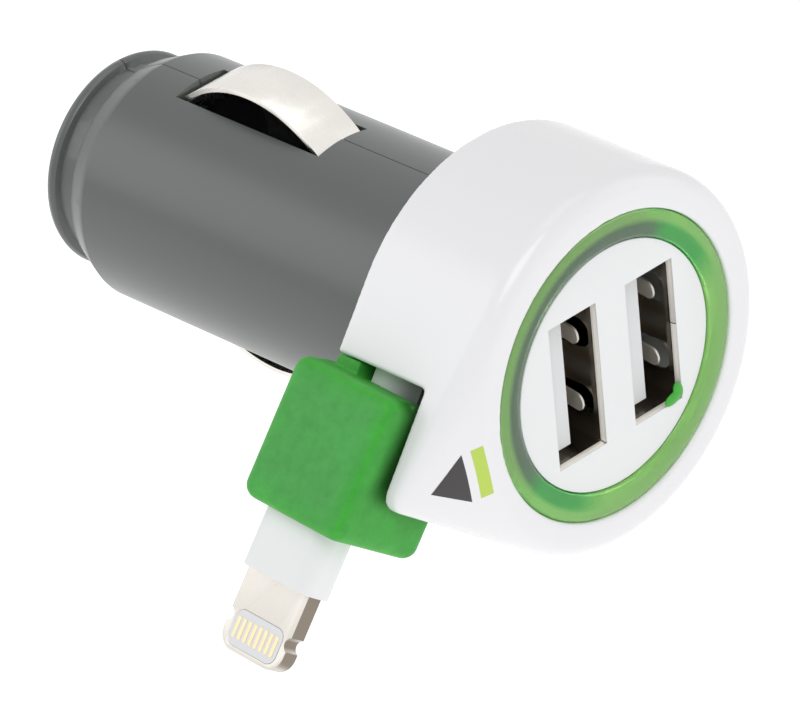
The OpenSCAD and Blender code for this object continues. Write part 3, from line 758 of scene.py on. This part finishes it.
def on_seam(place, centre_x):
    """Whether a point in millimetres lies on the folded sheet's seam, in the right port's right lip."""
    beside = abs(place.z - SEAM_Z) < SEAM_HALF + SEAM_TOUCH
    in_lip = place.x - centre_x > SEAM_X and place.y - SHELL_Y < ROLL_LEN + SEAM_TOUCH
    return centre_x > 0 and beside and in_lip


def shell_coat(face, centre_x):
    """The finish of a face of a port shell: wall in painted shade, spring finger or lip in painted
    highlight, or seam.
    """
    middle = face.calc_center_median() / MM
    depth = middle.y - SHELL_Y
    if on_seam(middle, centre_x):
        return "black_part"
    if depth < BRIGHT_LEN:
        return "lip_painted_highlight"
    across = abs(abs(middle.z) - FINGER_Z)
    wide_wall = abs(middle.x - centre_x) > FINGER_X
    on_finger = wide_wall and FINGER_START < depth < FINGER_END and across < FINGER_HALF_W
    return "finger_painted_highlight" if on_finger else "shell_steel"


def cut_through(form, place, way):
    """Cuts a form along a plane through a place in millimetres."""
    everything = form.verts[:] + form.edges[:] + form.faces[:]
    bmesh.ops.bisect_plane(form, geom=everything, plane_co=Vector(place) * MM, plane_no=way)


def roll_corner(vert, centre_x):
    """Moves a corner of the lip outwards, and one on the seam down into its groove."""
    depth = vert.co.y / MM - SHELL_Y
    if depth > LIP_LEN:
        return
    flare = LIP_FLARE * (1 - depth / LIP_LEN)
    rolled = ROLL_OUT * max(0, 1 - depth / ROLL_LEN) ** 2
    shift = (rolled - flare) * MM
    x = vert.co.x - centre_x * MM
    on_inside = x < (SHELL_HALF_W + flare + INNER_SHEET) * MM
    if on_seam(vert.co / MM, centre_x) and on_inside and abs(vert.co.z / MM - SEAM_Z) < SEAM_TOUCH:
        vert.co.x += SEAM_DEEP * MM
    if abs(vert.co.z) > (SHELL_HALF_H - SHELL_TOUCH) * MM:
        vert.co.z += copysign(shift, vert.co.z)
    elif abs(x) > (SHELL_HALF_W - SHELL_TOUCH) * MM:
        vert.co.x += copysign(shift, x)


def rolled_shell(node):
    """A copy of a port shell with its lips rolled outwards in an arc."""
    centre_x = sum(node_limits(node, 0)) / 2
    piece = copied_node(node, "_rolled")
    form = merged_form(piece.data)
    for cut in range(1, ROLL_CUTS + 1):
        cut_through(form, (0, SHELL_Y + ROLL_LEN * cut / ROLL_CUTS, 0), (0, 1, 0))
    for side in (-SEAM_HALF, 0, SEAM_HALF):
        cut_through(form, (0, 0, SEAM_Z + side), (0, 0, 1))
    for vert in form.verts:
        roll_corner(vert, centre_x)
    mark_sharp(form)
    for face in form.faces:
        face.material_index = SHELL_COATS.index(shell_coat(face, centre_x))
    close_form(form, piece.data)
    for coat in SHELL_COATS[1:]:
        piece.data.materials.append(MATERIALS[coat])
    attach(piece, "root")
    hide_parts(node)


# Drop of green lacquer at the lower corner of the right port

# Two flattened balls: centre and radii in millimetres, tilt in degrees
DAB_BALLS = (
    ((5.98, -13.27, -5.88), (0.92, 0.25, 0.50), 12),
    ((6.62, -13.25, -5.42), (0.50, 0.23, 0.80), 14),
)
DAB_GRID = 0.06
DAB_PASSES = 4


def lacquer_dab():
    """Two flattened balls melted into one drop."""
    form = bmesh.new()
    for centre, radii, tilt in DAB_BALLS:
        shape = Matrix.Translation(Vector(centre) * MM) @ Matrix.Rotation(radians(-tilt), 4, "Y")
        shape = shape @ Matrix.Diagonal((*[r * MM for r in radii], 1))
        bmesh.ops.create_icosphere(form, subdivisions=3, radius=1, matrix=shape)
    mesh = bpy.data.meshes.new("lacquer_dab")
    close_form(form, mesh)
    mesh.materials.append(MATERIALS["lacquer_green"])
    dab = add_object("lacquer_dab", mesh)
    melt_edges(dab, DAB_GRID, DAB_PASSES)
    apply_modifiers(dab)
    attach(dab, "root")


# Soft forms: a node's own form, with its edges worn round as thick moulding has them

# Grid in millimetres, passes of smoothing, share of the triangles kept, and body
SOFT_FORMS = {
    "head_front": (0.14, 24, 0.25, "root"),
    "plug_grip": (0.10, 14, 0.6, "plug"),
}


def soft_form(node, grid_mm, passes, kept_share, body):
    """A fine mesh of the node's form, smoothed so that its edges turn round, then thinned out."""
    piece = copied_node(node, "_form")
    melt_edges(piece, grid_mm, passes)
    thin = piece.modifiers.new("fewer", "DECIMATE")
    thin.ratio = kept_share
    apply_modifiers(piece)
    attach(piece, body)
    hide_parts(node)
    return piece


# Printed mark: a triangle and a bar on the sloping corner of the face

# Places across the pull and along it, in millimetres
MARK_CENTRE = Vector((-11.5, 11.5))
MARK_TURN = 45
MARK_START_Y = -30
MARK_LIFT = 0.012
MARK_STEPS = 14
MARK_MERGE = 0.0001
TRIANGLE_HALF = 2.3
TRIANGLE_TALL = 2.9
BAR_HALF = 2.3
BAR_TALL = 1.0
MARK_GAP = 0.7


def patch_corner(surface, across, along):
    """The place just above the surface, behind a point across and along the pull."""
    start = PULL_TURN @ Vector((across, MARK_START_Y, -along)) * MM
    hit, normal, _, _ = surface.ray_cast(start, Vector((0, 1, 0)))
    return hit + normal * MARK_LIFT * MM


def patch_form(corners, surface):
    """A grid between four corners, laid on the surface."""
    a, b, c, d = [Vector(corner) for corner in corners]
    form = bmesh.new()
    grid = []
    for i in range(MARK_STEPS + 1):
        u = i / MARK_STEPS
        shares = [j / MARK_STEPS for j in range(MARK_STEPS + 1)]
        row = [(a * (1 - u) + b * u) * (1 - v) + (d * (1 - u) + c * u) * v for v in shares]
        grid.append([form.verts.new(patch_corner(surface, *flat)) for flat in row])
    for near, far in zip(grid, grid[1:]):
        for j in range(MARK_STEPS):
            form.faces.new((near[j], far[j], far[j + 1], near[j + 1]))
    bmesh.ops.remove_doubles(form, verts=form.verts, dist=MARK_MERGE * MM)
    bmesh.ops.recalc_face_normals(form, faces=form.faces)
    smooth_faces(form)
    return form


def print_patch(name, corners, surface, finish):
    """A four-cornered patch of print in the pull frame, laid on the surface."""
    mesh = bpy.data.meshes.new(name)
    close_form(patch_form(corners, surface), mesh)
    mesh.materials.append(MATERIALS[finish])
    patch = add_object(name, mesh)
    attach(patch, "root")


def printed_mark(head):
    """Triangle that points the way the plug pulls, with a bar behind it."""
    places = [vert.co.copy() for vert in head.data.vertices]
    surface = BVHTree.FromPolygons(places, [face.vertices[:] for face in head.data.polygons])
    turn = Matrix.Rotation(radians(MARK_TURN), 2)

    def placed(points):
        return [MARK_CENTRE + turn @ Vector(point) for point in points]

    tip = (0, TRIANGLE_TALL)
    triangle = placed([(-TRIANGLE_HALF, 0), (TRIANGLE_HALF, 0), tip, tip])
    low, high = -MARK_GAP - BAR_TALL, -MARK_GAP
    bar = placed([(-BAR_HALF, low), (BAR_HALF, low), (BAR_HALF, high), (-BAR_HALF, high)])
    print_patch("mark_triangle", triangle, surface, "print_grey")
    print_patch("mark_bar", bar, surface, "print_lime")


# Studio

# Place and size in metres, and power; all lamps look at one point
LAMPS = {
    "key": ((-0.35, -0.45, 0.9), (0.6, 0.6), 3.5),
    "side": ((0.8, -0.5, 0.3), (0.5, 0.8), 0.7),
    "back": ((-0.5, 0.7, 0.4), (0.6, 0.6), 1.2),
    "top": ((0.2, 0.1, 0.9), (0.5, 0.5), 0.7),
}
LAMP_AIM = Vector((0, 0.01, 0))
ROOM_LIGHT = 0.47
WHITE = (1, 1, 1, 1)
FLOOR_Z = -0.075
FLOOR_HALF = 4.0
FLOOR_LOOK = {
    "Base_Color": (0.93, 0.93, 0.93, 1),
    "Roughness": 0.9,
    "Specular_IOR_Level": 0.0,
    "Emission_Color": WHITE,
    "Emission_Strength": 0.42,
}


def camera_turn():
    """The camera's rotation from its azimuth, elevation and roll."""
    azimuth, elevation = radians(CAMERA_AZIMUTH), radians(CAMERA_ELEVATION)
    back = Vector((sin(azimuth) * cos(elevation), -cos(azimuth) * cos(elevation), sin(elevation)))
    level = (-back).to_track_quat("-Z", "Y").to_matrix()
    return level @ Matrix.Rotation(radians(CAMERA_ROLL), 3, "Z")


def make_camera():
    """The camera that sees the charger as the photo shows it."""
    data = bpy.data.cameras.new("camera")
    data.lens = CAMERA_LENS_MM
    data.sensor_width = SENSOR_MM
    data.clip_start = 0.01
    data.clip_end = 20
    camera = add_object("camera", data)
    camera.matrix_world = Matrix.Translation(CAMERA_PLACE) @ camera_turn().to_4x4()
    bpy.context.scene.camera = camera


def softbox(name, place, size, power):
    """A soft rectangular lamp that looks at the charger."""
    data = bpy.data.lights.new(name, "AREA")
    data.shape = "RECTANGLE"
    data.size, data.size_y = size
    data.energy = power
    lamp = add_object(name, data)
    lamp.location = place
    lamp.rotation_mode = "QUATERNION"
    lamp.rotation_quaternion = (LAMP_AIM - Vector(place)).to_track_quat("-Z", "Y")


def white_where_seen(tree, lit_shader, output):
    """White to the camera, in reflections and through clear parts, and lit to everything else."""
    rays = tree.nodes.new("ShaderNodeLightPath")
    seen = math_node(tree, "ADD", rays.outputs["Is Camera Ray"], rays.outputs["Is Glossy Ray"])
    seen = math_node(tree, "ADD", seen, rays.outputs["Is Transmission Ray"], clamp=True)
    white = tree.nodes.new("ShaderNodeBackground")
    white.inputs["Color"].default_value = WHITE
    mix = tree.nodes.new("ShaderNodeMixShader")
    tree.links.new(seen, mix.inputs["Fac"])
    tree.links.new(lit_shader, mix.inputs[1])
    tree.links.new(white.outputs[0], mix.inputs[2])
    tree.links.new(mix.outputs[0], output)


def make_world():
    """An even white room."""
    world = bpy.data.worlds.new("studio")
    bpy.context.scene.world = world
    world.use_nodes = True
    tree = world.node_tree
    background = tree.nodes["Background"]
    background.inputs["Color"].default_value = WHITE
    background.inputs["Strength"].default_value = ROOM_LIGHT
    white_where_seen(tree, background.outputs[0], tree.nodes["World Output"].inputs["Surface"])


def make_floor():
    """Pale floor: the lamps and a glow bring it to white where no shadow falls."""
    mesh = bpy.data.meshes.new("floor")
    form = bmesh.new()
    bmesh.ops.create_grid(form, x_segments=2, y_segments=2, size=FLOOR_HALF)
    close_form(form, mesh)
    mesh.materials.append(new_material("floor_white", **FLOOR_LOOK)[0])
    floor = add_object("floor", mesh)
    floor.location.z = FLOOR_Z


dress_nodes()
for node_name, (width, body_name) in ROUNDED.items():
    rounded_piece(node_name, width, body_name)
barrel_half("barrel_left")
barrel_half("barrel_right")
forms = {name: soft_form(name, *values) for name, values in SOFT_FORMS.items()}
for node_name in PORT_SHELLS:
    rolled_shell(node_name)
lacquer_dab()
printed_mark(forms["head_front"])
make_camera()
make_world()
make_floor()
for lamp_name, (place, size, power) in LAMPS.items():
    softbox(lamp_name, place, size, power)
bpy.context.scene.view_settings.view_transform = "Standard"
